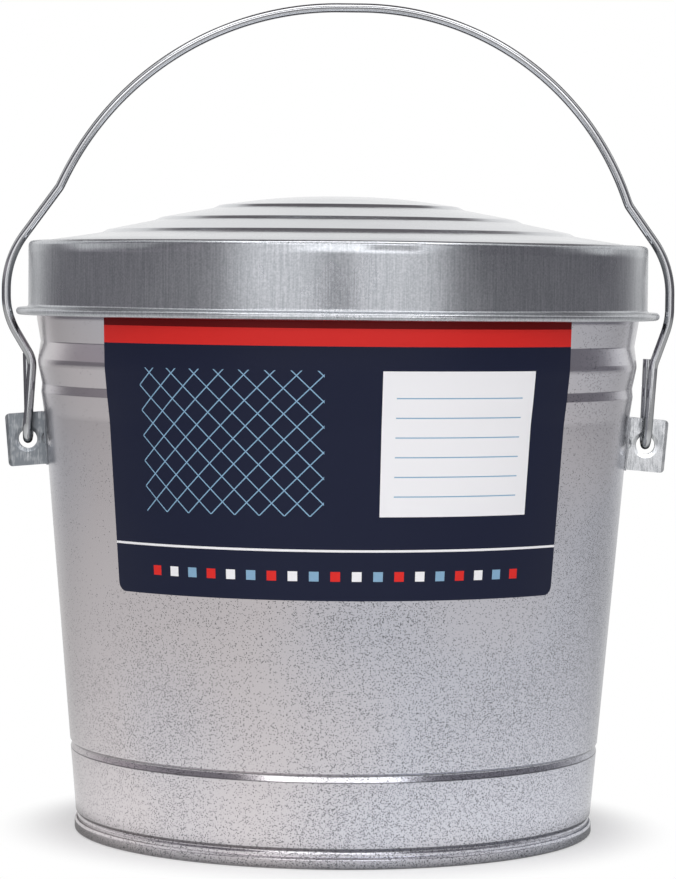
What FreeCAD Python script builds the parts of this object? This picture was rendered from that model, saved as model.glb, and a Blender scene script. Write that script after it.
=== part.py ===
# Galvanized storage can: tapered sheet metal body, stepped lid and a wire bail that locks over the lid.
# Millimetres, +Z up, origin on the floor at the centre of the foot. The ears lie on the X axis and
# the label faces -Y.
import FreeCAD
import Part
import math
import os

Vector = FreeCAD.Vector

# Sheet and wire stock
WALL = 0.6
PAN_SHEET = 0.6
LID_SHEET = 0.6
EAR_SHEET = 1.0
LABEL_SHEET = 0.2
RIM_WIRE = 2.2
BAIL_WIRE = 5.0

# Clearances
FIT = 0.05
RIM_WIRE_GAP = 0.3
LABEL_GAP = 0.25
LID_SIDE_GAP = 0.7
LID_SEAT_GAP = 0.3

# Body: the radii are of its outer face, and a drop is measured down from the top of the rolled rim
CAN_HEIGHT = 320.7
FOOT_NECK_RADIUS = 141.0
BAND_RADIUS = 164.9
NECK_HEIGHT = 7.6
HEM_HEIGHT = 4.4
HEM_BEND = 0.1
CRIMP_WIDTH = 2.8
CRIMP_DEPTH = 0.6
BASE_GROOVE_HEIGHT = 48.4
BASE_GROOVE_FLANK = 3.4
BASE_GROOVE_LIP = 1.2
BASE_GROOVE_DEPTH = 1.3
SHOULDER_DROP = 40.7
UPPER_GROOVE_DROP = 53.6
UPPER_GROOVE_DEPTH = 2.2
MAIN_BEAD_DROP = 64.9
MAIN_BEAD_DEPTH = 0.7
LOWER_GROOVE_DROP = 76.7
LOWER_GROOVE_DEPTH = 3.1
SMALL_BEAD_DROP = 81.2
SMALL_BEAD_DEPTH = 2.7
CONE_DROP = 92.8
CONE_DEPTH = 4.4
CRISP_BEND = 0.9
GROOVE_BEND = 2.2
RING_BEND = 12.0
EASY_BEND = 40.0
SEAM_WIDTH = 8.0
SEAM_PROUD = 0.9
SEAM_END_GAP = 8.0
SEAM_LEAST_BEND = 0.3

# Bottom pan
PAN_OVER_NECK = 0.8
PAN_BEND = 1.5
CHIME_SHOULDER = 4.8
CHIME_HEIGHT = 6.1
CHIME_TURN_IN = 0.7
CHIME_BEND = 0.8

# Lid: ring radii at the foot of each riser, heights above the lid's rim
LID_SKIRT = 40.3
LID_CORNER = 2.7
LID_SEAT_WIDTH = 8.4
LID_RING_RADII = (130.0, 101.0, 69.0)
LID_RING_HEIGHTS = (4.8, 11.8, 18.8)
LID_RISER_WIDTH = 3.3
LID_RISER_HEIGHT = 1.7
LID_CROWN_HEIGHT = 25.7
LID_CROWN_FLAT = 28.0
LID_CROWN_BEND = 330.0
LID_RISER_BEND = 1.6
LID_HEM_REACH = 6.6
LID_HEM_HEIGHT = 4.2
LID_HEM_OPENING = 1.0

# Ears: reaches are measured out from the wall
EAR_DROP = 107.0
EAR_HEIGHT = 29.0
EAR_REACH = 22.4
EAR_THICKNESS = 5.0
EAR_BEND = 0.8
EAR_CORNER = 2.5
EAR_FLANGE = 15.0
EAR_HOLE_REACH = 10.7
EAR_HOLE_RADIUS = 5.2
EAR_DISH_RADIUS = 7.2
EAR_DISH_DEPTH = 0.5

# Rivets
RIVET_OFFSET = 9.6
RIVET_SHANK = 4.0
RIVET_HEAD = 6.4
RIVET_HEAD_HEIGHT = 1.6
RIVET_TAIL_HEIGHT = 1.2
RIVET_SEAT = 0.1

# Bail: the arch is a round bow over the lid, and the kinks lock on the lid's rim
BAIL_HOOK_RADIUS = 9.0
BAIL_TAIL = 47.0
BAIL_TAIL_LEAN = 1.5
BAIL_LEG_SWAY = 3.0
BAIL_LEG_RISE = 43.9
BAIL_ARCH_RISE = 128.3
BAIL_ARCH_SWAY = 5.5
BAIL_RIM_GAP = 0.7
BAIL_LEFT_KINK_RISE = 29.4
BAIL_RIGHT_KINK_RISE = 22.4
BAIL_KINK_BEND = 12.0
BAIL_KINK_RUN = 6.0
BAIL_BOW_GAP = 2.8
BAIL_BOW_DROP = 10.0
BAIL_BOW_FOOT_DROP = 40.6
BAIL_BOW_BEND = 50.0
BAIL_BOW_FOOT_BEND = 40.0
BAIL_LEG_BEND = 15.0

# Label
LABEL_HALF_ANGLE = 47.0
LABEL_BOTTOM = 139.0
LABEL_TUCK = 4.5
LABEL_CORNER = 5.0

# Levels and radii worked out from the values above
RIM_CURL = RIM_WIRE / 2 + RIM_WIRE_GAP
RIM_RADIUS = BAND_RADIUS + 2 * RIM_CURL + WALL
RIM_WIRE_CENTRE = Vector(BAND_RADIUS + RIM_CURL, 0, CAN_HEIGHT - WALL - RIM_CURL)
CONE_TOP = CAN_HEIGHT - CONE_DROP
CONE_TOP_RADIUS = BAND_RADIUS - CONE_DEPTH
TAPER = math.atan2(CONE_TOP_RADIUS - FOOT_NECK_RADIUS, CONE_TOP)
LID_RADIUS = RIM_RADIUS + LID_SIDE_GAP + LID_SHEET
LID_RIM = CAN_HEIGHT + LID_SEAT_GAP + LID_SHEET
LID_HEM_RADIUS = LID_RADIUS + LID_HEM_REACH
EAR_LEVEL = CAN_HEIGHT - EAR_DROP


def cone_radius(height):
    """Outer radius of the tapered wall at a height above the floor."""
    return FOOT_NECK_RADIUS + height * math.tan(TAPER)


def side_of(direction):
    """Unit vector to the left of a direction in the drawing plane."""
    return Vector(-direction.y, direction.x, 0)


def heading(start, end):
    """Unit vector from one point to another."""
    return (end - start).normalize()


def bent_edges(points, bends):
    """Straight runs through the points, joined by tangent arcs of the given bend radii."""
    edges = []
    here = points[0]
    for before, corner, after, bend in zip(points, points[1:], points[2:], bends[1:]):
        arrive = heading(before, corner)
        leave = heading(corner, after)
        half_turn = arrive.getAngle(leave) / 2
        reach = bend * math.tan(half_turn)
        first = corner - arrive * reach
        last = corner + leave * reach
        middle = corner + (leave - arrive).normalize() * bend * (1 / math.cos(half_turn) - 1)
        if here.distanceToPoint(first) > FIT / 10:
            edges.append(Part.LineSegment(here, first).toShape())
            here = first
        edges.append(Part.Arc(here, middle, last).toShape())
        here = last
    if here.distanceToPoint(points[-1]) > FIT / 10:
        edges.append(Part.LineSegment(here, points[-1]).toShape())
    return edges


def moved_sideways(route, shift):
    """Points and bends of a drawn route, moved to its left by shift, with the bends kept concentric."""
    points = [Vector(across, up, 0) for across, up, bend in route]
    sides = [side_of(heading(start, end)) for start, end in zip(points, points[1:])]
    moved = [points[0] + sides[0] * shift]
    bends = [0]
    for corner, (across, up, bend), before, after in zip(points[1:], route[1:], sides, sides[1:]):
        moved.append(corner + (before + after) * (shift / (1 + before.dot(after))))
        turns_left = before.cross(after).z > 0
        bends.append(bend - shift if turns_left else bend + shift)
    moved.append(points[-1] + sides[-1] * shift)
    return moved, bends + [0]


def sheet_face(route, near, far):
    """Face of a bent sheet between two sideways shifts of one route."""
    near_edges = bent_edges(*moved_sideways(route, near))
    far_edges = bent_edges(*moved_sideways(route, far))
    near_wire = Part.Wire(near_edges)
    far_wire = Part.Wire(far_edges)
    near_ends = near_wire.OrderedVertexes
    far_ends = far_wire.OrderedVertexes
    start = Part.LineSegment(near_ends[0].Point, far_ends[0].Point).toShape()
    end = Part.LineSegment(near_ends[-1].Point, far_ends[-1].Point).toShape()
    outline = Part.Wire(Part.__sortEdges__(near_edges + far_edges + [start, end]))
    return Part.Face(outline)


def spun(face, from_angle=0.0, sweep=360.0):
    """Solid of a drawn face, read as radius and height, turned about the can's axis."""
    upright = face.copy()
    upright.rotate(Vector(0, 0, 0), Vector(1, 0, 0), 90)
    upright.rotate(Vector(0, 0, 0), Vector(0, 0, 1), from_angle)
    return upright.revolve(Vector(0, 0, 0), Vector(0, 0, 1), sweep)


def wall_route():
    """Outer face of the wall from the crimp over the foot to the band under the rim."""
    groove_foot = BASE_GROOVE_HEIGHT - BASE_GROOVE_FLANK
    groove_head = BASE_GROOVE_HEIGHT + BASE_GROOVE_LIP
    groove_bend = SEAM_PROUD + SEAM_LEAST_BEND
    cone_foot = NECK_HEIGHT + CRIMP_WIDTH
    return [
        (cone_radius(cone_foot), cone_foot, CRISP_BEND),
        (cone_radius(groove_foot), groove_foot, CRISP_BEND),
        (cone_radius(BASE_GROOVE_HEIGHT) - BASE_GROOVE_DEPTH, BASE_GROOVE_HEIGHT, groove_bend),
        (cone_radius(groove_head), groove_head, CRISP_BEND),
        (CONE_TOP_RADIUS, CONE_TOP, EASY_BEND),
        (BAND_RADIUS - SMALL_BEAD_DEPTH, CAN_HEIGHT - SMALL_BEAD_DROP, GROOVE_BEND),
        (BAND_RADIUS - LOWER_GROOVE_DEPTH, CAN_HEIGHT - LOWER_GROOVE_DROP, GROOVE_BEND),
        (BAND_RADIUS - MAIN_BEAD_DEPTH, CAN_HEIGHT - MAIN_BEAD_DROP, RING_BEND),
        (BAND_RADIUS - UPPER_GROOVE_DEPTH, CAN_HEIGHT - UPPER_GROOVE_DROP, GROOVE_BEND),
        (BAND_RADIUS, CAN_HEIGHT - SHOULDER_DROP, RING_BEND),
    ]


def make_body_shell():
    """Side wall with its hem at the foot, rings, rolled rim and the lock seam at the back."""
    hem_floor = PAN_SHEET + FIT + WALL
    hem_radius = FOOT_NECK_RADIUS + 2 * HEM_BEND
    hem = [
        (hem_radius, HEM_HEIGHT, 0),
        (hem_radius, hem_floor, HEM_BEND),
        (FOOT_NECK_RADIUS, hem_floor, HEM_BEND),
        (FOOT_NECK_RADIUS, NECK_HEIGHT, CRISP_BEND),
        (FOOT_NECK_RADIUS - CRIMP_DEPTH, NECK_HEIGHT + CRIMP_WIDTH / 2, CRISP_BEND),
    ]
    rim_top = CAN_HEIGHT - WALL
    rim_outside = BAND_RADIUS + 2 * RIM_CURL
    rim_floor = rim_top - 2 * RIM_CURL
    rim = [
        (BAND_RADIUS, rim_top, RIM_CURL),
        (rim_outside, rim_top, RIM_CURL),
        (rim_outside, rim_floor, RIM_CURL),
        (BAND_RADIUS + RIM_CURL / 2, rim_floor, 0),
    ]
    shell = spun(sheet_face(hem + wall_route() + rim, 0, WALL))
    seam_turn = math.degrees(SEAM_WIDTH / BAND_RADIUS)
    seam_top = (BAND_RADIUS, rim_floor - SEAM_END_GAP, 0)
    seam = spun(sheet_face(wall_route() + [seam_top], -SEAM_PROUD, WALL / 2), 90 - seam_turn / 2, seam_turn)
    return shell.fuse(seam)


def make_rim_wire():
    """Wire ring inside the rolled rim."""
    return Part.makeTorus(RIM_WIRE_CENTRE.x, RIM_WIRE / 2, Vector(0, 0, RIM_WIRE_CENTRE.z))


def make_bottom_pan():
    """Raised bottom whose edge wraps under the wall's hem and makes the foot ring."""
    inside = FOOT_NECK_RADIUS - WALL - FIT - PAN_SHEET
    outside = FOOT_NECK_RADIUS + 2 * HEM_BEND + WALL + FIT + PAN_SHEET
    rise = NECK_HEIGHT + PAN_OVER_NECK
    route = [
        (0, rise, 0),
        (inside, rise, PAN_BEND),
        (inside, 0, CHIME_BEND),
        (outside, 0, CHIME_BEND),
        (outside, CHIME_SHOULDER, CHIME_BEND),
        (outside - CHIME_TURN_IN, CHIME_HEIGHT, 0),
    ]
    return spun(sheet_face(route, 0, PAN_SHEET))


def make_lid():
    """Pressed lid: crown, three risers, flat seat, skirt and rolled hem."""
    crown = LID_RIM + LID_CROWN_HEIGHT
    route = [(0, crown, 0), (LID_CROWN_FLAT, crown, LID_CROWN_BEND)]
    for radius, height in zip(reversed(LID_RING_RADII), reversed(LID_RING_HEIGHTS)):
        foot = LID_RIM + height
        route.append((radius - LID_RISER_WIDTH, foot + LID_RISER_HEIGHT, LID_RISER_BEND))
        route.append((radius, foot, LID_RISER_BEND))
    hem_top = LID_RIM - LID_SKIRT + LID_HEM_HEIGHT
    hem_floor = LID_RIM - LID_SKIRT
    hem_bend = LID_HEM_HEIGHT / 2
    hem_inside = LID_RADIUS + LID_HEM_OPENING
    route += [
        (LID_RADIUS - LID_SEAT_WIDTH, LID_RIM, RING_BEND),
        (LID_RADIUS, LID_RIM, LID_CORNER),
        (LID_RADIUS, hem_top, LID_RISER_BEND),
        (LID_HEM_RADIUS, hem_top, hem_bend),
        (LID_HEM_RADIUS, hem_floor, hem_bend),
        (hem_inside, hem_floor, LID_RISER_BEND),
        (hem_inside, hem_top - LID_SHEET - LID_HEM_OPENING, 0),
    ]
    return spun(sheet_face(route, 0, -LID_SHEET))


def wall_placement():
    """Frame on the wall at the right ear: X out of the wall, Z up along it."""
    wall_point = Vector(cone_radius(EAR_LEVEL), 0, EAR_LEVEL)
    return FreeCAD.Placement(wall_point, FreeCAD.Rotation(Vector(0, 1, 0), math.degrees(TAPER)))


def wall_curve():
    """Radius of the wall's round face, square to the wall, at the ears."""
    return cone_radius(EAR_LEVEL) / math.cos(TAPER)


def rivet_axes():
    """Directions of the two rivets of one ear, square to the wall, in the ear's frame."""
    lean = math.asin(RIVET_OFFSET / wall_curve())
    return [Vector(math.cos(lean), side * math.sin(lean), 0) for side in (-1, 1)]


def ear_route():
    """Outer skin of an ear in plan: front flange, folded plate, rear flange."""
    half = EAR_THICKNESS / 2
    skin = wall_curve() + FIT + EAR_SHEET
    end_turn = math.asin(EAR_FLANGE / skin)
    bend_turn = math.asin((half + EAR_BEND) / skin)
    middle_turn = (end_turn + bend_turn) / 2
    middle_radius = skin / math.cos((end_turn - bend_turn) / 2)
    to_corner = (skin * math.sin(bend_turn) - half) / math.cos(bend_turn)
    corner = skin * math.cos(bend_turn) + to_corner * math.sin(bend_turn) - wall_curve()
    end = skin * math.cos(end_turn) - wall_curve()
    middle = middle_radius * math.cos(middle_turn) - wall_curve()
    front = [
        (end, -skin * math.sin(end_turn), 0),
        (middle, -middle_radius * math.sin(middle_turn), skin),
        (corner, -half, EAR_BEND),
        (EAR_REACH, -half, half),
    ]
    return front + [(out, -across, bend) for out, across, bend in reversed(front)]


def make_right_ear():
    """Folded strap with flanges, a dished hole for the bail and rivet holes."""
    ear = sheet_face(ear_route(), 0, EAR_SHEET).extrude(Vector(0, 0, EAR_HEIGHT))
    ear.translate(Vector(0, 0, -EAR_HEIGHT / 2))
    blank = Part.makeBox(2 * EAR_REACH, 2 * EAR_FLANGE, EAR_HEIGHT)
    blank.translate(Vector(-EAR_REACH, -EAR_FLANGE, -EAR_HEIGHT / 2))
    outer_corners = [edge for edge in blank.Edges if edge.BoundBox.XMin > 0 and edge.BoundBox.ZLength < FIT]
    outer_corners = [edge for edge in outer_corners if edge.BoundBox.YLength > EAR_FLANGE]
    ear = ear.common(blank.makeFillet(EAR_CORNER, outer_corners))
    hole_centre = Vector(EAR_HOLE_REACH, -EAR_FLANGE, 0)
    ear = ear.cut(Part.makeCylinder(EAR_HOLE_RADIUS, 2 * EAR_FLANGE, hole_centre, Vector(0, 1, 0)))
    for side in (-1, 1):
        dish_centre = Vector(EAR_HOLE_REACH, side * EAR_THICKNESS / 2, 0)
        inward = Vector(0, -side, 0)
        ear = ear.cut(
            Part.makeCone(EAR_DISH_RADIUS, EAR_HOLE_RADIUS, EAR_DISH_DEPTH, dish_centre, inward)
        )
    ear = ear.cut(Part.makeCompound(rivet_holes()))
    ear.Placement = wall_placement().multiply(ear.Placement)
    return ear


def rivet_holes():
    """Holes for one ear's rivets, in the ear's frame."""
    axis_point = Vector(-wall_curve(), 0, 0)
    start = wall_curve() - EAR_FLANGE
    holes = []
    for axis in rivet_axes():
        holes.append(Part.makeCylinder(RIVET_SHANK / 2 + FIT, 2 * EAR_FLANGE, axis_point + axis * start, axis))
    return holes


def dome(radius, height, seat, axis):
    """Rivet head: a ball cut flat at its seat."""
    ball = (radius ** 2 + height ** 2) / (2 * height)
    head = Part.makeSphere(ball, seat + axis * (height - ball), axis)
    return head.common(Part.makeCylinder(radius, height, seat, axis))


def make_right_rivets():
    """Two rivets of the right ear, each with a head outside and a tail inside the wall."""
    axis_point = Vector(-wall_curve(), 0, 0)
    head_seat = wall_curve() + FIT + EAR_SHEET
    tail_seat = wall_curve() - WALL - RIVET_SEAT
    rivets = []
    for axis in rivet_axes():
        shank = Part.makeCylinder(RIVET_SHANK / 2, head_seat - tail_seat, axis_point + axis * tail_seat, axis)
        head = dome(RIVET_HEAD / 2, RIVET_HEAD_HEIGHT, axis_point + axis * head_seat, axis)
        tail = dome(RIVET_HEAD / 2, RIVET_TAIL_HEIGHT, axis_point + axis * tail_seat, axis * -1)
        rivet = shank.fuse([head, tail]).removeSplitter()
        rivet.Placement = wall_placement().multiply(rivet.Placement)
        rivets.append(rivet)
    return rivets


def opposite(shape):
    """The same shape on the other side of the can."""
    turned = shape.copy()
    turned.rotate(Vector(0, 0, 0), Vector(0, 0, 1), 180)
    return turned


def hook_axis():
    """Point on the bail's hinge axis at the right ear: the middle of the hook's round."""
    hole = wall_placement().multVec(Vector(EAR_HOLE_REACH, 0, 0))
    return hole + Vector(0, 0, BAIL_HOOK_RADIUS)


def bail_side(side):
    """Points and bends of half the bail, from its tail up to the arch; side is 1 on the right."""
    axis = hook_axis()
    hook_floor = axis.z - BAIL_HOOK_RADIUS
    front = -BAIL_HOOK_RADIUS
    wire = BAIL_WIRE / 2
    sway = side * BAIL_LEG_SWAY
    bow = LID_HEM_RADIUS + BAIL_BOW_GAP + wire
    rim_reach = math.hypot(LID_RADIUS, LID_RIM - axis.z) + wire + BAIL_RIM_GAP
    kink_height = LID_RIM + (BAIL_RIGHT_KINK_RISE if side > 0 else BAIL_LEFT_KINK_RISE)
    kink = math.sqrt(rim_reach ** 2 - (kink_height - axis.z) ** 2)
    arch_top = LID_RIM + BAIL_ARCH_RISE
    arch_middle = side * BAIL_ARCH_SWAY
    arch_span = kink - arch_middle
    arch_depth = arch_top - kink_height
    arch_radius = (arch_span ** 2 + arch_depth ** 2) / (2 * arch_depth)
    arch_turn = 2 * math.atan2(arch_depth, arch_span)
    arch_corner = arch_middle + arch_radius * math.tan(arch_turn / 2)
    arch_bend = arch_radius - BAIL_KINK_RUN / math.tan(arch_turn / 2)
    legs = [
        (axis.x + BAIL_TAIL_LEAN, BAIL_HOOK_RADIUS, hook_floor + BAIL_TAIL, 0),
        (axis.x, BAIL_HOOK_RADIUS, hook_floor, BAIL_HOOK_RADIUS),
        (axis.x, front, hook_floor, BAIL_HOOK_RADIUS),
        (axis.x + sway, front, hook_floor + BAIL_LEG_RISE, BAIL_LEG_BEND),
        (bow, front, LID_RIM - BAIL_BOW_FOOT_DROP, BAIL_BOW_FOOT_BEND),
        (bow, front, LID_RIM - BAIL_BOW_DROP, BAIL_BOW_BEND),
        (kink, front, kink_height, BAIL_KINK_BEND),
        (arch_corner, front, arch_top, arch_bend),
    ]
    points = [Vector(side * out, across, up) for out, across, up, bend in legs]
    return points, [bend for out, across, up, bend in legs]


def make_bail():
    """One wire from tail to tail through both ears and over the lid."""
    left_points, left_bends = bail_side(-1)
    right_points, right_bends = bail_side(1)
    path = Part.Wire(bent_edges(left_points + right_points[::-1], left_bends + right_bends[::-1]))
    start = path.OrderedVertexes[0].Point
    along = heading(left_points[0], left_points[1])
    section = Part.Wire(Part.makeCircle(BAIL_WIRE / 2, start, along))
    wire = path.makePipeShell([section], True, False)
    print("bail length", round(path.Length, 1))
    print("bail volume over section times length", wire.Volume / (path.Length * Part.Face(section).Area))
    return wire


def make_label():
    """Paper label that bridges the rings and follows the tapered wall."""
    off = LABEL_GAP + LABEL_SHEET
    top = LID_RIM - LID_SKIRT + LABEL_TUCK
    route = [
        (cone_radius(LABEL_BOTTOM) + off, LABEL_BOTTOM, 0),
        (CONE_TOP_RADIUS + off, CONE_TOP, 2 * EASY_BEND),
        (BAND_RADIUS - SMALL_BEAD_DEPTH + off, CAN_HEIGHT - SMALL_BEAD_DROP, EASY_BEND),
        (BAND_RADIUS - MAIN_BEAD_DEPTH + off, CAN_HEIGHT - MAIN_BEAD_DROP, EASY_BEND),
        (BAND_RADIUS + off, CAN_HEIGHT - SHOULDER_DROP, EASY_BEND),
        (BAND_RADIUS + off, top, 0),
    ]
    band = spun(sheet_face(route, 0, LABEL_SHEET), -90 - LABEL_HALF_ANGLE, 2 * LABEL_HALF_ANGLE)
    low_edges = [edge for edge in band.Edges if edge.BoundBox.ZMax < LABEL_BOTTOM + LABEL_SHEET]
    corners = [edge for edge in low_edges if edge.Length < 2 * LABEL_SHEET]
    return band.makeFillet(LABEL_CORNER, corners)


def main():
    os.makedirs("parts", exist_ok=True)
    right_ear = make_right_ear()
    right_rivets = make_right_rivets()
    holes = rivet_holes()
    for hole in holes:
        hole.Placement = wall_placement().multiply(hole.Placement)
    holes += [opposite(hole) for hole in holes]
    rivets = right_rivets + [opposite(rivet) for rivet in right_rivets]
    pieces = {
        "bottom_pan": make_bottom_pan(),
        "body_shell": make_body_shell().cut(Part.makeCompound(holes)),
        "rim_wire": make_rim_wire(),
        "ear_right": right_ear,
        "ear_left": opposite(right_ear),
        "ear_rivets": Part.makeCompound(rivets),
        "label": make_label(),
        "lid": make_lid(),
        "bail": make_bail(),
    }
    for name, shape in pieces.items():
        print(name, "valid" if shape.isValid() else "NOT VALID", len(shape.Solids), "solids", round(shape.Volume))
        shape.exportStep("parts/" + name + ".step")


main()
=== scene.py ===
import math

import bpy
from mathutils import Matrix, Vector


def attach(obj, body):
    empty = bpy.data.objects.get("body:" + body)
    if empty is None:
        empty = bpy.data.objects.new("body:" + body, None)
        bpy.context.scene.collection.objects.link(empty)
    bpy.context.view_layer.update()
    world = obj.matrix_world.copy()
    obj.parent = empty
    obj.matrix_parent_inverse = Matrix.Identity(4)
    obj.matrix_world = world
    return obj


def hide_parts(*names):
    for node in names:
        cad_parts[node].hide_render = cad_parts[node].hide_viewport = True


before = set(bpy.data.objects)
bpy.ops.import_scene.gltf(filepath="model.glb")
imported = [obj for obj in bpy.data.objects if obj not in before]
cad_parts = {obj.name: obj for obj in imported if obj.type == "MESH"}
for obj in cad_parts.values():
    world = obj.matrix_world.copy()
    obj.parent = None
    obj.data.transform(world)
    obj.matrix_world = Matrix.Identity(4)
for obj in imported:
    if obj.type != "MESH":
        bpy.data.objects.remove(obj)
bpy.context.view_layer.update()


# Side wall and bottom pan
# Both are pressed and rolled from thin hot-dip galvanised steel. The wall is closed by a lock seam
# at the back, and the pan is crimped round its hem, which makes the ring that the can stands on.

# The scene is in metres, and the sizes of the pieces and patterns are in millimetres.
MM = 0.001


def linear(code):
    """The linear colour of an sRGB hex value."""
    channels = [int(code[digit:digit + 2], 16) / 255 for digit in (0, 2, 4)]
    return [c / 12.92 if c <= 0.04045 else ((c + 0.055) / 1.055) ** 2.4 for c in channels] + [1]


def feed(finish, node, inputs):
    """Sets a node's inputs, by name or number, or links them to a socket or to a node's result."""
    for name, value in inputs.items():
        sockets = [socket for socket in node.inputs if socket.enabled]
        socket = sockets[name] if isinstance(name, int) else next(s for s in sockets if s.name == name)
        if isinstance(value, bpy.types.Node):
            value = next(result for result in value.outputs if result.enabled)
        if isinstance(value, bpy.types.NodeSocket):
            finish.node_tree.links.new(value, socket)
        else:
            socket.default_value = value


def add(finish, kind, inputs=None, **settings):
    """Adds one node with its settings, inputs and links."""
    node = finish.node_tree.nodes.new("ShaderNode" + kind)
    for name, value in settings.items():
        setattr(node, name, value)
    feed(finish, node, inputs or {})
    return node


def new_finish(name):
    """A material with only its shader in it, and the place on the object in metres."""
    finish = bpy.data.materials.new(name)
    finish.use_nodes = True
    place = add(finish, "TexCoord").outputs["Object"]
    return finish, finish.node_tree.nodes["Principled BSDF"], place


# Hot-dip zinc on rolled sheet: a satin mid grey, warmer at the left and cooler at the right. Its fine
# spangle shows as dark specks, thick near the foot and to the right and thinner in patches, and
# painted shade lies as a dark line in the two creases of the groove near the foot.
WARM_ZINC = "d6d0d2"
COOL_ZINC = "d0d1da"
ZINC_EDGE = "e4e4e4"
TINT_PATCH = 160
SPECK_GREY = "464b50"
SPECK_GRAIN = 0.5
SPECK_PITCH = 0.58
SPECK_CORE = 0.3
SPECK_EDGE = 0.55
SPECK_PATCH = 80
SPECK_PATCH_SHARE = 0.6
SPECK_FADE_HEIGHT = 260
SPECK_SLANT = 0.8
CREASE_SHADE = "2c3034"
CREASE_SHADE_COVER = 0.85
CREASE_HEIGHTS = (48.4, 45)
CREASE_WIDTH = 0.9
SHEET_WAVE = 70
SHEET_WAVE_DEPTH = 0.5
GRAIN_DEPTH = 0.012

sheet, sheet_shader, place = new_finish("galvanised_steel_rolled_sheet")
tint = add(sheet, "TexNoise", {"Vector": place, "Scale": 1 / (TINT_PATCH * MM), "Detail": 1})
where = add(sheet, "SeparateXYZ", {"Vector": place})
tint_side = add(sheet, "Math", {0: where.outputs["X"], 1: tint}, operation="ADD")
tint_mix = add(sheet, "MapRange", {"Value": tint_side, "From Min": 0.35, "From Max": 0.65})
zinc = add(sheet, "Mix", {"Factor": tint_mix, "A": linear(WARM_ZINC), "B": linear(COOL_ZINC)},
           data_type="RGBA")

grain = add(sheet, "TexNoise", {"Vector": place, "Scale": 1 / (SPECK_GRAIN * MM), "Detail": 2})
shaken = add(sheet, "VectorMath", {0: grain.outputs["Color"], 1: (SPECK_GRAIN * MM,) * 3, 2: place},
             operation="MULTIPLY_ADD")
dots = add(sheet, "TexVoronoi", {"Vector": shaken, "Scale": 1 / (SPECK_PITCH * MM)})
specks = add(sheet, "MapRange", {"Value": dots.outputs["Distance"], "From Min": SPECK_EDGE,
                                 "From Max": SPECK_CORE})
patch = add(sheet, "TexNoise", {"Vector": place, "Scale": 1 / (SPECK_PATCH * MM), "Detail": 2})
fade = add(sheet, "MapRange", {"Value": where.outputs["Z"], "From Max": SPECK_FADE_HEIGHT * MM,
                               "To Min": 0.22, "To Max": -0.16})
aslant = add(sheet, "Math", {0: where.outputs["X"], 1: SPECK_SLANT, 2: fade}, operation="MULTIPLY_ADD")
thick = add(sheet, "Math", {0: patch, 1: SPECK_PATCH_SHARE, 2: aslant}, operation="MULTIPLY_ADD")
crowd = add(sheet, "MapRange", {"Value": thick, "From Min": 0.18, "From Max": 0.52,
                                "To Min": 0.01, "To Max": 0.5})
lot = add(sheet, "SeparateXYZ", {"Vector": dots.outputs["Color"]}).outputs["X"]
chosen = add(sheet, "Math", {0: lot, 1: crowd}, operation="LESS_THAN")
speckle = add(sheet, "Math", {0: specks, 1: chosen}, operation="MULTIPLY")
surface = add(sheet, "Mix", {"Factor": speckle, "A": zinc, "B": linear(SPECK_GREY)}, data_type="RGBA")

# Painted shade: a dark line along each crease of the groove, where shade falls.
for level in CREASE_HEIGHTS:
    above = add(sheet, "Math", {0: where.outputs["Z"], 1: level * MM}, operation="SUBTRACT")
    apart = add(sheet, "Math", {0: above}, operation="ABSOLUTE")
    painted_crease_shade = add(sheet, "MapRange", {"Value": apart, "From Min": CREASE_WIDTH / 2 * MM, "From Max": 0,
                                   "To Min": 0, "To Max": CREASE_SHADE_COVER})
    surface = add(sheet, "Mix", {"Factor": painted_crease_shade, "A": surface, "B": linear(CREASE_SHADE)}, data_type="RGBA")

wave = add(sheet, "TexNoise", {"Vector": place, "Scale": 1 / (SHEET_WAVE * MM), "Detail": 0})
waved = add(sheet, "Bump", {"Height": wave, "Distance": SHEET_WAVE_DEPTH * MM, "Strength": 1})
pitted = add(sheet, "Bump", {"Height": grain, "Distance": GRAIN_DEPTH * MM, "Strength": 1,
                             "Normal": waved})
dullness = add(sheet, "MapRange", {"Value": patch, "To Min": 0.14, "To Max": 0.26})
feed(sheet, sheet_shader, {"Base Color": surface, "Metallic": 1, "Roughness": dullness,
                           "Normal": pitted, "Specular Tint": linear(ZINC_EDGE)})

for node in ("bottom_pan", "body_shell"):
    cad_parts[node].material_slots[0].material = sheet


# Wire in the rolled rim
# A ring of round steel wire that stiffens the mouth of the can. It is drawn through a die and zinc
# plated, and the top edge of the wall is rolled round it.

# Zinc plating on drawn wire: bright and smooth, with painted shade toward its outline from a black
# edge tint, and faint stains along it and small scuffs.
STAINED_PLATING = "a4a6a8"
CLEAN_PLATING = "cfd0d2"
OUTLINE_SHADE_TINT = "000000"
WIRE_SCUFF = 0.5
WIRE_STAIN = 30

wire, wire_shader, place = new_finish("zinc_plated_drawn_wire")
scuff = add(wire, "TexNoise", {"Vector": place, "Scale": 1 / (WIRE_SCUFF * MM), "Detail": 1})
stain = add(wire, "TexNoise", {"Vector": place, "Scale": 1 / (WIRE_STAIN * MM), "Detail": 3})
plating = add(wire, "Mix", {"Factor": stain, "A": linear(STAINED_PLATING), "B": linear(CLEAN_PLATING)},
              data_type="RGBA")
scuffed = add(wire, "MapRange", {"Value": scuff, "From Min": 0.3, "From Max": 0.7,
                                 "To Min": 0.09, "To Max": 0.13})
# Painted shade: the black edge tint darkens the wire toward its outline.
feed(wire, wire_shader, {"Base Color": plating, "Metallic": 1, "Roughness": scuffed,
                         "Specular Tint": linear(OUTLINE_SHADE_TINT)})

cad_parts["rim_wire"].material_slots[0].material = wire
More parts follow.
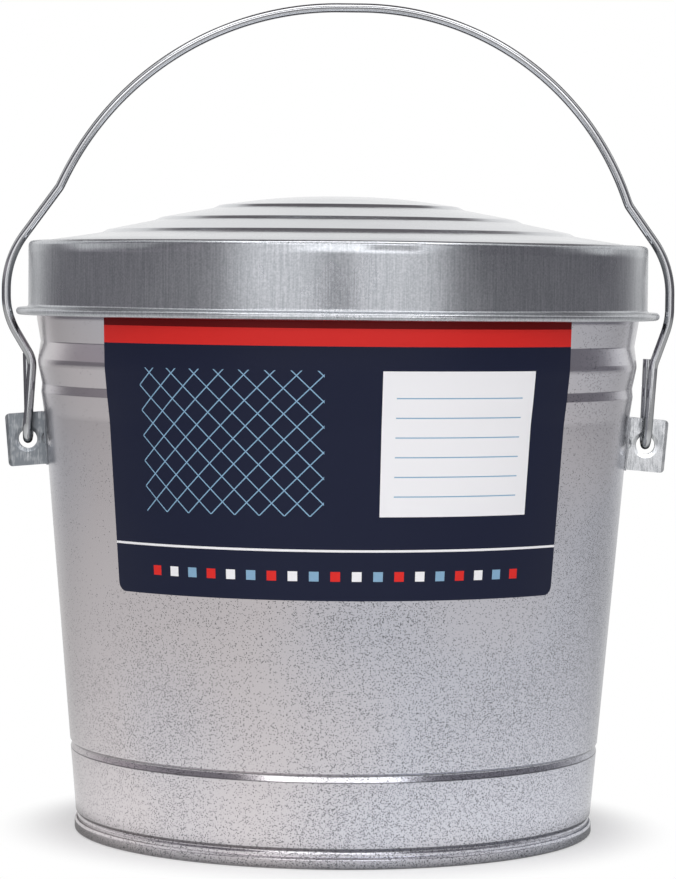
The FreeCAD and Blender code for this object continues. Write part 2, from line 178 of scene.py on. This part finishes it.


# Ears and their rivets
# Straps of thicker galvanised sheet folded double, pierced for the bail and riveted to the wall.
# Handling has rubbed the zinc of both and left upright scratches.

# Rubbed zinc: dull grey where its skin is left, and brighter and smoother in blotches and along the
# scratches. All of it also runs brighter and smoother toward the right.
DULL_ZINC = "8a8f94"
RUBBED_ZINC = "dcdee0"
SCRATCH = 0.7
SCRATCH_SQUEEZE = 0.12
SCRATCH_DEPTH = 0.05
BLOTCH = 6
RIGHTWARD_SLANT = 1.3

strap, strap_shader, place = new_finish("galvanised_steel_rubbed_strap")
long_place = add(strap, "Mapping", {"Vector": place, "Scale": (1, 1, SCRATCH_SQUEEZE)})
rub = add(strap, "TexNoise", {"Vector": long_place, "Scale": 1 / (SCRATCH * MM), "Detail": 3})
blotch = add(strap, "TexNoise", {"Vector": place, "Scale": 1 / (BLOTCH * MM), "Detail": 3})
aside = add(strap, "SeparateXYZ", {"Vector": place}).outputs["X"]
# The strap grows brighter and smoother toward the right, with blotches over that.
blotches_and_rightward = add(strap, "Math", {0: aside, 1: RIGHTWARD_SLANT, 2: blotch}, operation="MULTIPLY_ADD")
rubbing_and_rightward = add(strap, "Math", {0: rub, 1: blotches_and_rightward}, operation="ADD")
wear_and_rightward = add(strap, "MapRange", {"Value": rubbing_and_rightward, "From Min": 0.75, "From Max": 1.3})
strap_zinc = add(strap, "Mix", {"Factor": wear_and_rightward, "A": linear(DULL_ZINC), "B": linear(RUBBED_ZINC)},
                 data_type="RGBA")
strap_rough = add(strap, "MapRange", {"Value": wear_and_rightward, "To Min": 0.4, "To Max": 0.2})
scratched = add(strap, "Bump", {"Height": rubbing_and_rightward, "Distance": SCRATCH_DEPTH * MM, "Strength": 1})
feed(strap, strap_shader, {"Base Color": strap_zinc, "Metallic": 1, "Roughness": strap_rough,
                           "Normal": scratched})

for node in ("ear_left", "ear_right", "ear_rivets"):
    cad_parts[node].material_slots[0].material = strap


# Label
# A printed paper sheet stuck round the front of the wall, with a red band at its head on a navy
# field, and the shadow of the lid's hem painted as a dark red strip along the top of the band. The
# rest of the print is plain: a card to write on, a trellis and a row of squares.

# Offset print on coated paper: flat even inks under a low satin sheen, with a slight ripple from the
# glue. The fibres are drawn coarser than real ones, so that they show.
RED = "de2d29"
HEM_SHADOW_RED = "6a0407"
NAVY = "1b2036"
WHITE = "f2f2f4"
PALE_BLUE = "86acc8"
PRINT_RADIUS = 156
PRINT_HALF = 140
PRINT_HEAD = 300
RED_FOOT = 268.3
HEM_SHADOW_FOOT = 277.3
RULE_FOOT = 164
RULE = 1.2
PANEL_FOOT = 182
PANEL_HEAD = 256
TRELLIS_LEFT = -104
TRELLIS_RIGHT = -6
TRELLIS_PITCH = 13
TRELLIS_LINE = 0.8
CARD_LEFT = 22
CARD_RIGHT = 104
CARD_MARGIN = 7
CARD_LINES = 6
CARD_LINE_FOOT = 192
CARD_LINE_PITCH = 10
CARD_LINE = 0.6
SQUARE = 5
SQUARE_PITCH = 11
SQUARE_FOOT = 149
SQUARE_ROW_HALF = 104.5
FIBRE = 0.6
FIBRE_DEPTH = 0.01
RIPPLE = 38
RIPPLE_DEPTH = 0.5
COATING_IOR = 1.4

paper, paper_shader, place = new_finish("offset_printed_coated_paper")
spot = add(paper, "SeparateXYZ", {"Vector": place})
ahead = add(paper, "Math", {0: spot.outputs["Y"], 1: -1}, operation="MULTIPLY")
turn = add(paper, "Math", {0: spot.outputs["X"], 1: ahead}, operation="ARCTAN2")
across = add(paper, "Math", {0: turn, 1: PRINT_RADIUS}, operation="MULTIPLY")
up = add(paper, "Math", {0: spot.outputs["Z"], 1: 1 / MM}, operation="MULTIPLY")


def block(left, right, bottom, top):
    """A printed block, 1 between its edges in mm round the label and mm above the floor."""
    wide = add(paper, "Math", {0: across, 1: (left + right) / 2, 2: (right - left) / 2},
               operation="COMPARE")
    tall = add(paper, "Math", {0: up, 1: (bottom + top) / 2, 2: (top - bottom) / 2},
               operation="COMPARE")
    return add(paper, "Math", {0: wide, 1: tall}, operation="MULTIPLY")


def printed(ground, ink, mask):
    """One ink over what is printed already."""
    return add(paper, "Mix", {"Factor": mask, "A": ground, "B": linear(ink)}, data_type="RGBA")


def lattice(measure, pitch, width):
    """Lines of a width, repeated at a pitch along a measure in mm."""
    nearest = add(paper, "Math", {0: measure, 1: pitch / 2}, operation="PINGPONG")
    return add(paper, "Math", {0: nearest, 1: width / 2}, operation="LESS_THAN")


colour = printed(linear(NAVY), RED, block(-PRINT_HALF, PRINT_HALF, RED_FOOT, PRINT_HEAD))
# Painted shadow: the lid's hem shades the head of the red band, painted as a dark red strip.
colour = printed(colour, HEM_SHADOW_RED, block(-PRINT_HALF, PRINT_HALF, HEM_SHADOW_FOOT, PRINT_HEAD))
colour = printed(colour, WHITE, block(-PRINT_HALF, PRINT_HALF, RULE_FOOT, RULE_FOOT + RULE))

rising = add(paper, "Math", {0: across, 1: up}, operation="ADD")
falling = add(paper, "Math", {0: across, 1: up}, operation="SUBTRACT")
strips = add(paper, "Math", {0: lattice(rising, TRELLIS_PITCH, TRELLIS_LINE),
                             1: lattice(falling, TRELLIS_PITCH, TRELLIS_LINE)}, operation="MAXIMUM")
trellis = add(paper, "Math", {0: strips, 1: block(TRELLIS_LEFT, TRELLIS_RIGHT, PANEL_FOOT, PANEL_HEAD)},
              operation="MULTIPLY")
colour = printed(colour, PALE_BLUE, trellis)

colour = printed(colour, WHITE, block(CARD_LEFT, CARD_RIGHT, PANEL_FOOT, PANEL_HEAD))
for number in range(CARD_LINES):
    foot = CARD_LINE_FOOT + CARD_LINE_PITCH * number
    line = block(CARD_LEFT + CARD_MARGIN, CARD_RIGHT - CARD_MARGIN, foot, foot + CARD_LINE)
    colour = printed(colour, PALE_BLUE, line)

row = add(paper, "Math", {0: lattice(across, SQUARE_PITCH, SQUARE),
                          1: block(-SQUARE_ROW_HALF, SQUARE_ROW_HALF, SQUARE_FOOT, SQUARE_FOOT + SQUARE)},
          operation="MULTIPLY")
colour = printed(colour, WHITE, row)
for share, ink in ((0, RED), (1, PALE_BLUE)):
    shifted = add(paper, "Math", {0: across, 1: share * SQUARE_PITCH}, operation="ADD")
    third = add(paper, "Math", {0: lattice(shifted, 3 * SQUARE_PITCH, SQUARE_PITCH), 1: row},
                operation="MULTIPLY")
    colour = printed(colour, ink, third)

fibres = add(paper, "TexNoise", {"Vector": place, "Scale": 1 / (FIBRE * MM), "Detail": 2})
ripple = add(paper, "TexNoise", {"Vector": place, "Scale": 1 / (RIPPLE * MM), "Detail": 1})
rippled = add(paper, "Bump", {"Height": ripple, "Distance": RIPPLE_DEPTH * MM, "Strength": 1})
fibred = add(paper, "Bump", {"Height": fibres, "Distance": FIBRE_DEPTH * MM, "Strength": 1,
                             "Normal": rippled})
sheen = add(paper, "MapRange", {"Value": fibres, "To Min": 0.36, "To Max": 0.5})
feed(paper, paper_shader, {"Base Color": colour, "Roughness": sheen, "IOR": COATING_IOR,
                           "Specular IOR Level": 0.2, "Normal": fibred})

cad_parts["label"].material_slots[0].material = paper


# Lid
# One deep drawn pressing of galvanised sheet: a stepped dome, an upright skirt and a hem rolled round
# its edge. The CAD's profile is turned here in finer steps, for smooth bright edges.

LID_SHEET = 0.6
LID_RADIUS = 169.6
LID_RIM = 321.6
LID_BOTTOM = 281.3
RIM_SEAT = 8.4
RIM_SEAT_BEND = 12
RIM_BEND = 2.7
HEM_REACH = 6.6
HEM_HEIGHT = 4.2
HEM_OPENING = 1
HEM_BEND = 2.1
RING_RADII = (69, 101, 130)
RING_HEIGHTS = (18.8, 11.8, 4.8)
RISER_WIDTH = 3.3
RISER_HEIGHT = 1.7
CROWN_PIN = 0.05
CROWN_RADIUS = 28
CROWN_HEIGHT = 25.7
CROWN_BEND = 330
SHEET_BEND = 1.6
BEND_STEPS = 8
LID_TURNS = 360

# Corners of the profile from the crown to the lip: radius, height and the radius of the bend.
hem_top = LID_BOTTOM + HEM_HEIGHT
hem_radius = LID_RADIUS + HEM_REACH
lip_radius = LID_RADIUS + HEM_OPENING
crown_top = LID_RIM + CROWN_HEIGHT
profile = [(CROWN_PIN, crown_top, 0), (CROWN_RADIUS, crown_top, CROWN_BEND)]
for radius, rise in zip(RING_RADII, RING_HEIGHTS):
    profile.append((radius - RISER_WIDTH, LID_RIM + rise + RISER_HEIGHT, SHEET_BEND))
    profile.append((radius, LID_RIM + rise, SHEET_BEND))
profile += [(LID_RADIUS - RIM_SEAT, LID_RIM, RIM_SEAT_BEND), (LID_RADIUS, LID_RIM, RIM_BEND),
            (LID_RADIUS, hem_top, SHEET_BEND), (hem_radius, hem_top, HEM_BEND),
            (hem_radius, LID_BOTTOM, HEM_BEND), (lip_radius, LID_BOTTOM, SHEET_BEND),
            (lip_radius, hem_top - SHEET_BEND, 0)]
profile = [(Vector((radius, height)), bend) for radius, height, bend in profile]

outer = [profile[0][0]]
across_sheet = [Vector((0, -1))]
for (before, _), (corner, bend), (after, _) in zip(profile, profile[1:], profile[2:]):
    arrive = (corner - before).normalized()
    leave = (after - corner).normalized()
    swing = arrive.angle_signed(leave)
    inward = Vector((arrive.y, -arrive.x))
    start = corner - arrive * bend * math.tan(abs(swing) / 2)
    middle = start + inward * math.copysign(bend, swing)
    for step in range(BEND_STEPS + 1):
        turned = Matrix.Rotation(-swing * step / BEND_STEPS, 2)
        outer.append(middle + turned @ (start - middle))
        across_sheet.append(turned @ inward)
outer.append(profile[-1][0])
across_sheet.append(across_sheet[-1])
inner = [point + way * LID_SHEET for point, way in zip(outer, across_sheet)]
section = outer + inner[::-1]
facing = [-way for way in across_sheet] + across_sheet[::-1]


def skinned(name, points, count):
    """A smooth piece over rings of as many points as the count, with a cap at each end."""
    last = len(points) - count
    faces = [tuple(range(count)), tuple(reversed(range(last, len(points))))]
    for ring in range(0, last, count):
        for number in range(count):
            near = ring + number
            far = ring + (number + 1) % count
            faces.append((near, near + count, far + count, far))
    mesh = bpy.data.meshes.new(name)
    mesh.from_pydata(points, [], faces)
    mesh.shade_smooth()
    piece = bpy.data.objects.new(name, mesh)
    bpy.context.scene.collection.objects.link(piece)
    return piece


turns = [2 * math.pi * number / LID_TURNS for number in range(LID_TURNS)]
lid_points = [(r * math.sin(a) * MM, -r * math.cos(a) * MM, z * MM) for r, z in section for a in turns]
lid_normals = [(n.x * math.sin(a), -n.x * math.cos(a), n.y) for n in facing for a in turns]
lid_piece = skinned("lid_pressing", lid_points, LID_TURNS)
lid_piece.data.normals_split_custom_set_from_vertices(lid_normals)

# Deep drawn zinc: upright lines on the skirt from the die, a cloudy satin skin on the dome and
# shallow dents along the rim. The dome's colour is painted paler than the skirt's, as painted light
# from above. The lines are drawn coarser than real ones, so that they show.
DARK_DRAWN = "a3a7ab"
PALE_DRAWN = "c2c4c8"
DRAW_LINE = 0.75
DRAW_SQUEEZE = 0.03
DRAW_DEPTH = 0.015
SKIN_CLOUD = 40
SKIN_CLOUD_DEPTH = 0.3
SKIN_GRAIN = 1
DOME_FOOT = 1.7
SKIRT_HEAD = -2.3
RIM_DENT = 45
RIM_DENT_DEPTH = 1.5
RIM_DENT_FOOT = -7

drawn, drawn_shader, place = new_finish("galvanised_steel_deep_drawn")
upright = add(drawn, "Mapping", {"Vector": place, "Scale": (1, 1, DRAW_SQUEEZE)})
drawing = add(drawn, "TexNoise", {"Vector": upright, "Scale": 1 / (DRAW_LINE * MM), "Detail": 2})
clouds = add(drawn, "TexNoise", {"Vector": place, "Scale": 1 / (SKIN_CLOUD * MM), "Detail": 3})
skin_grain = add(drawn, "TexNoise", {"Vector": place, "Scale": 1 / (SKIN_GRAIN * MM), "Detail": 2})
streak = add(drawn, "Math", {0: drawing, 1: skin_grain}, operation="ADD")
height = add(drawn, "SeparateXYZ", {"Vector": place}).outputs["Z"]
on_skirt = add(drawn, "MapRange", {"Value": height, "From Min": (LID_RIM + DOME_FOOT) * MM,
                                   "From Max": (LID_RIM + SKIRT_HEAD) * MM})
skirt_skin = add(drawn, "MapRange", {"Value": streak, "From Min": 0.75, "From Max": 1.25})
skin = add(drawn, "Math", {0: clouds, 1: skin_grain}, operation="ADD")
# Painted light: the dome's skin maps to a paler colour than the skirt's, as if lit from above.
dome_skin_painted_pale = add(drawn, "MapRange", {"Value": skin, "From Min": 0.7, "From Max": 1.3,
                                    "To Min": 0.55, "To Max": 1.25}, clamp=False)
lid_skin_and_painted_light = add(drawn, "Mix", {"Factor": on_skirt, "A": dome_skin_painted_pale, "B": skirt_skin})
lid_zinc = add(drawn, "Mix", {"Factor": lid_skin_and_painted_light, "A": linear(DARK_DRAWN), "B": linear(PALE_DRAWN)},
               data_type="RGBA")

dents = add(drawn, "TexNoise", {"Vector": place, "Scale": 1 / (RIM_DENT * MM), "Detail": 0})
at_rim = add(drawn, "MapRange", {"Value": height, "From Min": (LID_RIM + RIM_DENT_FOOT) * MM,
                                 "From Max": LID_RIM * MM}, interpolation_type="SMOOTHSTEP")
rim_zone = add(drawn, "Math", {0: at_rim, 1: on_skirt}, operation="MULTIPLY")
dent = add(drawn, "MapRange", {"Value": dents, "From Min": 0.35, "From Max": 0.65,
                               "To Min": 0, "To Max": -1})
rim_dent = add(drawn, "Math", {0: dent, 1: rim_zone}, operation="MULTIPLY")
skirt_rough = add(drawn, "MapRange", {"Value": clouds, "To Min": 0.22, "To Max": 0.36})
dome_rough = add(drawn, "MapRange", {"Value": skin, "From Min": 0.7, "From Max": 1.3,
                                     "To Min": 0.1, "To Max": 0.2})
lid_rough = add(drawn, "Mix", {"Factor": on_skirt, "A": dome_rough, "B": skirt_rough})
dented = add(drawn, "Bump", {"Height": rim_dent, "Distance": RIM_DENT_DEPTH * MM, "Strength": 1})
clouded = add(drawn, "Bump", {"Height": clouds, "Distance": SKIN_CLOUD_DEPTH * MM, "Strength": 1,
                              "Normal": dented})
lined = add(drawn, "Bump", {"Height": drawing, "Distance": DRAW_DEPTH * MM, "Strength": on_skirt,
                            "Normal": clouded})
feed(drawn, drawn_shader, {"Base Color": lid_zinc, "Metallic": 1, "Roughness": lid_rough,
                           "Normal": lined})

lid_piece.data.materials.append(drawn)
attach(lid_piece, "lid")
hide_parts("lid")


# Bail
# One round wire, plated like the rim's and bent cold into an arch. At each side a kink leads it out
# past the lid's rim, a bow goes round the lid's hem, and an open hook turns in the ear's hole. The
# CAD's wire is swept here in finer steps, for smooth bright lines along it.

BAIL_WIRE = 5
HOOK_REACH = 169.946
HOOK_HEIGHT = 221.788
HOOK_RADIUS = 9
TAIL = 47
TAIL_LEAN = 1.5
LEG_RISE = 43.9
LEG_SWAY = 3
LEG_BEND = 15
BOW_GAP = 2.8
BOW_FOOT_DROP = 40.6
BOW_FOOT_BEND = 40
BOW_DROP = 10
BOW_BEND = 50
RIM_GAP = 0.7
KINK_RISES = {-1: 29.4, 1: 22.4}
KINK_BEND = 12
KINK_RUN = 6
ARCH_RISE = 128.3
ARCH_SWAY = 5.5
WIRE_STEP = 1.5
WIRE_SIDES = 48
WIRE_END_CREASE = 45

# Corners of each half from the hook's tail to the arch: out, back and up, and the bend's radius.
# The left hand is -1 and the right hand is 1, here and in KINK_RISES.
wire_radius = BAIL_WIRE / 2
hook_floor = HOOK_HEIGHT - HOOK_RADIUS
bow = hem_radius + BOW_GAP + wire_radius
rim_reach = math.hypot(LID_RADIUS, LID_RIM - HOOK_HEIGHT) + wire_radius + RIM_GAP
arch_top = LID_RIM + ARCH_RISE
halves = []
for hand in (-1, 1):
    kink_height = LID_RIM + KINK_RISES[hand]
    kink = math.sqrt(rim_reach ** 2 - (kink_height - HOOK_HEIGHT) ** 2)
    arch_span = kink - hand * ARCH_SWAY
    arch_depth = arch_top - kink_height
    arch_radius = (arch_span ** 2 + arch_depth ** 2) / (2 * arch_depth)
    half_turn = math.atan2(arch_depth, arch_span)
    arch_corner = hand * ARCH_SWAY + arch_radius * math.tan(half_turn)
    arch_bend = arch_radius - KINK_RUN / math.tan(half_turn)
    half = [(HOOK_REACH + TAIL_LEAN, HOOK_RADIUS, hook_floor + TAIL, 0),
            (HOOK_REACH, HOOK_RADIUS, hook_floor, HOOK_RADIUS),
            (HOOK_REACH, -HOOK_RADIUS, hook_floor, HOOK_RADIUS),
            (HOOK_REACH + hand * LEG_SWAY, -HOOK_RADIUS, hook_floor + LEG_RISE, LEG_BEND),
            (bow, -HOOK_RADIUS, LID_RIM - BOW_FOOT_DROP, BOW_FOOT_BEND),
            (bow, -HOOK_RADIUS, LID_RIM - BOW_DROP, BOW_BEND),
            (kink, -HOOK_RADIUS, kink_height, KINK_BEND),
            (arch_corner, -HOOK_RADIUS, arch_top, arch_bend)]
    halves.append([(Vector((hand * out, back, high)), bend) for out, back, high, bend in half])
bends = halves[0] + halves[1][::-1]

route = [bends[0][0]]
for (before, _), (corner, bend), (after, _) in zip(bends, bends[1:], bends[2:]):
    arrive = (corner - before).normalized()
    leave = (after - corner).normalized()
    swing = arrive.angle(leave)
    middle = corner + (leave - arrive).normalized() * bend / math.cos(swing / 2)
    spoke = corner - arrive * bend * math.tan(swing / 2) - middle
    steps = math.ceil(swing * bend / WIRE_STEP)
    for step in range(steps + 1):
        turned = Matrix.Rotation(swing * step / steps, 3, arrive.cross(leave))
        on_bend = middle + turned @ spoke
        if (on_bend - route[-1]).length > WIRE_STEP / 10:
            route.append(on_bend)
route.append(bends[-1][0])

bail_points = []
outward = Vector((0, 1, 0))
heading = (route[1] - route[0]).normalized()
for previous, centre, following in zip(route[:1] + route, route, route[1:] + route[-1:]):
    onward = (following - previous).normalized()
    outward = heading.rotation_difference(onward) @ outward
    heading = onward
    for number in range(WIRE_SIDES):
        angle = 2 * math.pi * number / WIRE_SIDES
        around = outward * math.cos(angle) + outward.cross(heading) * math.sin(angle)
        bail_points.append((centre + around * wire_radius) * MM)
bail_piece = skinned("bail_wire", bail_points, WIRE_SIDES)
bail_piece.data.set_sharp_from_angle(angle=math.radians(WIRE_END_CREASE))

bail_piece.data.materials.append(wire)
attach(bail_piece, "bail")
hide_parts("bail")


# Floor and light
# A sweep of white paper, lit by soft boxes above, in front and at both sides of the camera. The room
# round it is dim, with a pale screen at the left, a white wall behind and a dark roof, which the
# bright metal mirrors. The floor, the lamps and the camera are placed in metres.

FLOOR_HALF = 2.3
FLOOR_DROP = 0.0002
FLOOR_CORNERS = ((-1, -1), (1, -1), (1, 1), (-1, 1))

floor_mesh = bpy.data.meshes.new("floor")
floor_points = [(x * FLOOR_HALF, y * FLOOR_HALF, -FLOOR_DROP) for x, y in FLOOR_CORNERS]
floor_mesh.from_pydata(floor_points, [], [(0, 1, 2, 3)])
floor = bpy.data.objects.new("floor", floor_mesh)
bpy.context.scene.collection.objects.link(floor)

# Uncoated white paper: even white to the camera, with a soft shade close round the foot. In the metal
# it glows with painted light: a painted shadow close round the foot, a painted falloff with distance,
# and painted brightness straight behind the can. Its pulp is drawn coarser than real fibres, so that it
# shows.
SHADE_REACH = (0.142, 0.19)
SHADE_LIFT = 0.3
FOOT_SHADE_REACH = (0.15, 0.18)
FOOT_SHADE_LIFT = 0.3
NEAR_FLOOR = 0.22
FLOOR_FALLOFF = -0.28
REAR_EDGE = (0.7, 0.97)
REAR_LIFT = 0.9
PULP = 3
DARK_PULP = "f0f0f0"
PALE_PULP = "f6f6f6"

sweep, sweep_shader, place = new_finish("white_paper_sweep")
ray = add(sweep, "LightPath").outputs
reach = add(sweep, "VectorMath", {0: place}, operation="LENGTH")
clear = add(sweep, "MapRange", {"Value": reach, "From Min": SHADE_REACH[0], "From Max": SHADE_REACH[1],
                                "To Min": SHADE_LIFT}, interpolation_type="SMOOTHSTEP")
looked_at = add(sweep, "Math", {0: ray["Is Camera Ray"], 1: clear}, operation="MULTIPLY")
# Painted light in the metal: a painted shadow close round the foot, a painted falloff with distance and a
# painted bright patch straight behind the can.
under = add(sweep, "MapRange", {"Value": reach, "From Min": FOOT_SHADE_REACH[0], "From Max": FOOT_SHADE_REACH[1],
                                "To Min": FOOT_SHADE_LIFT})
spread = add(sweep, "Math", {0: reach, 1: NEAR_FLOOR}, operation="DIVIDE")
past = add(sweep, "Math", {0: spread, 1: 1}, operation="MAXIMUM")
painted_falloff = add(sweep, "Math", {0: past, 1: FLOOR_FALLOFF}, operation="POWER")
depth = add(sweep, "SeparateXYZ", {"Vector": place}).outputs["Y"]
straight = add(sweep, "Math", {0: depth, 1: reach}, operation="DIVIDE")
rear = add(sweep, "MapRange", {"Value": straight, "From Min": REAR_EDGE[0], "From Max": REAR_EDGE[1]})
far_lift = add(sweep, "Mix", {"Factor": rear, "A": painted_falloff, "B": REAR_LIFT})
mirrored = add(sweep, "Math", {0: under, 1: far_lift}, operation="MULTIPLY")
in_metal = add(sweep, "Math", {0: ray["Is Glossy Ray"], 1: mirrored}, operation="MULTIPLY")
lift = add(sweep, "Math", {0: looked_at, 1: in_metal}, operation="MAXIMUM")
pulp = add(sweep, "TexNoise", {"Vector": place, "Scale": 1 / (PULP * MM)})
pulp_white = add(sweep, "Mix", {"Factor": pulp, "A": linear(DARK_PULP), "B": linear(PALE_PULP)},
                 data_type="RGBA")
unlit = add(sweep, "Math", {0: looked_at, 1: ray["Is Glossy Ray"]}, operation="MAXIMUM")
shaded = add(sweep, "Mix", {"Factor": unlit, "A": pulp_white, "B": linear("000000")}, data_type="RGBA")
feed(sweep, sweep_shader, {"Base Color": shaded, "Roughness": 0.9, "Emission Color": linear("ffffff"),
                           "Emission Strength": lift, "Specular IOR Level": 0})
floor_mesh.materials.append(sweep)

# The room as the metal sees it, by the way it faces: X to the right, Y to the back and Z up.
WALL = "78767c"
LOW_WALL = "cccad2"
SCREEN = "b0abb1"
REAR_WALL = "ffffff"
ROOF = "7c787b"
REAR_WALL_SLOPE = 1.8

world = bpy.data.worlds.new("studio")
bpy.context.scene.world = world
world.use_nodes = True
toward = add(world, "TexCoord").outputs["Generated"]
way = add(world, "SeparateXYZ", {"Vector": toward}).outputs
low = add(world, "MapRange", {"Value": way["Z"], "From Min": -0.08, "From Max": -0.2},
          interpolation_type="SMOOTHSTEP")
walls = add(world, "Mix", {"Factor": low, "A": linear(WALL), "B": linear(LOW_WALL)}, data_type="RGBA")

leftward = add(world, "MapRange", {"Value": way["X"], "From Min": -0.3, "From Max": -0.6})
screen_foot = add(world, "MapRange", {"Value": way["Z"], "From Min": 0.05, "From Max": 0.12})
screen_head = add(world, "MapRange", {"Value": way["Z"], "From Min": 0.3, "From Max": 0.22})
screen_tall = add(world, "Math", {0: screen_foot, 1: screen_head}, operation="MULTIPLY")
screen = add(world, "Math", {0: screen_tall, 1: leftward}, operation="MULTIPLY")
screened = add(world, "Mix", {"Factor": screen, "A": walls, "B": linear(SCREEN)}, data_type="RGBA")

skyward = add(world, "Math", {0: way["Z"], 1: 0}, operation="MAXIMUM")
aslope = add(world, "Math", {0: skyward, 1: REAR_WALL_SLOPE, 2: way["Y"]}, operation="MULTIPLY_ADD")
behind = add(world, "MapRange", {"Value": aslope, "From Min": 0.68, "From Max": 0.9},
             interpolation_type="SMOOTHSTEP")
room = add(world, "Mix", {"Factor": behind, "A": screened, "B": linear(REAR_WALL)}, data_type="RGBA")

roof = add(world, "MapRange", {"Value": way["Z"], "From Min": 0.42, "From Max": 0.6},
           interpolation_type="SMOOTHSTEP")
sideways = add(world, "Math", {0: way["X"]}, operation="ABSOLUTE")
midway = add(world, "MapRange", {"Value": sideways, "From Min": 0.4, "From Max": 0.25},
             interpolation_type="SMOOTHSTEP")
rearward = add(world, "MapRange", {"Value": way["Y"], "From Min": 0.05, "From Max": 0.25},
               interpolation_type="SMOOTHSTEP")
overhead = add(world, "Math", {0: midway, 1: rearward}, operation="MAXIMUM")
dark_roof = add(world, "Math", {0: roof, 1: overhead}, operation="MULTIPLY")
hall = add(world, "Mix", {"Factor": dark_roof, "A": room, "B": linear(ROOF)}, data_type="RGBA")

world_ray = add(world, "LightPath").outputs
plain = add(world, "Math", {0: world_ray["Is Camera Ray"], 1: world_ray["Is Transmission Ray"]},
            operation="MAXIMUM")
sky = add(world, "Mix", {"Factor": plain, "A": hall, "B": linear("ffffff")}, data_type="RGBA")
feed(world, world.node_tree.nodes["Background"], {"Color": sky})

LIGHT_AIM = Vector((0, 0, 0.3))


def soft_box(name, spot, wide, tall, radiance):
    """An evenly bright panel at a spot, facing the can."""
    lamp = bpy.data.lights.new(name, "AREA")
    lamp.shape = "RECTANGLE"
    lamp.size = wide
    lamp.size_y = tall
    lamp.energy = radiance * math.pi * wide * tall
    panel = bpy.data.objects.new(name, lamp)
    panel.location = spot
    panel.rotation_euler = (LIGHT_AIM - Vector(spot)).to_track_quat("-Z", "Y").to_euler()
    panel.visible_camera = False
    bpy.context.scene.collection.objects.link(panel)


soft_box("left_soft_box", (-0.79, -2.1, 0.5), wide=1.33, tall=0.9, radiance=1.1)
soft_box("right_soft_box", (0.79, -2.1, 0.5), wide=1.33, tall=0.9, radiance=1.1)
soft_box("front_soft_box", (0, -2, 1.15), wide=2.3, tall=0.45, radiance=3)
soft_box("top_soft_box", (0, -0.9, 2.1), wide=2.4, tall=1.1, radiance=2.4)


# Camera
# It stands a little below the lid's rim and under two metres off, and looks slightly down through a
# long lens.

CAMERA_PLACE = (-0.0001, -1.87, 0.3006)
LOOK_DOWN = 2.652
CAMERA_ROLL = -0.58
LENS = 139.2
SENSOR_HEIGHT = 36

lens = bpy.data.cameras.new("camera")
lens.sensor_fit = "VERTICAL"
lens.sensor_height = SENSOR_HEIGHT
lens.lens = LENS
camera = bpy.data.objects.new("camera", lens)
camera.location = CAMERA_PLACE
camera.rotation_euler = (math.radians(90 - LOOK_DOWN), math.radians(CAMERA_ROLL), 0)
bpy.context.scene.collection.objects.link(camera)
bpy.context.scene.camera = camera
bpy.context.scene.view_settings.view_transform = "Standard"
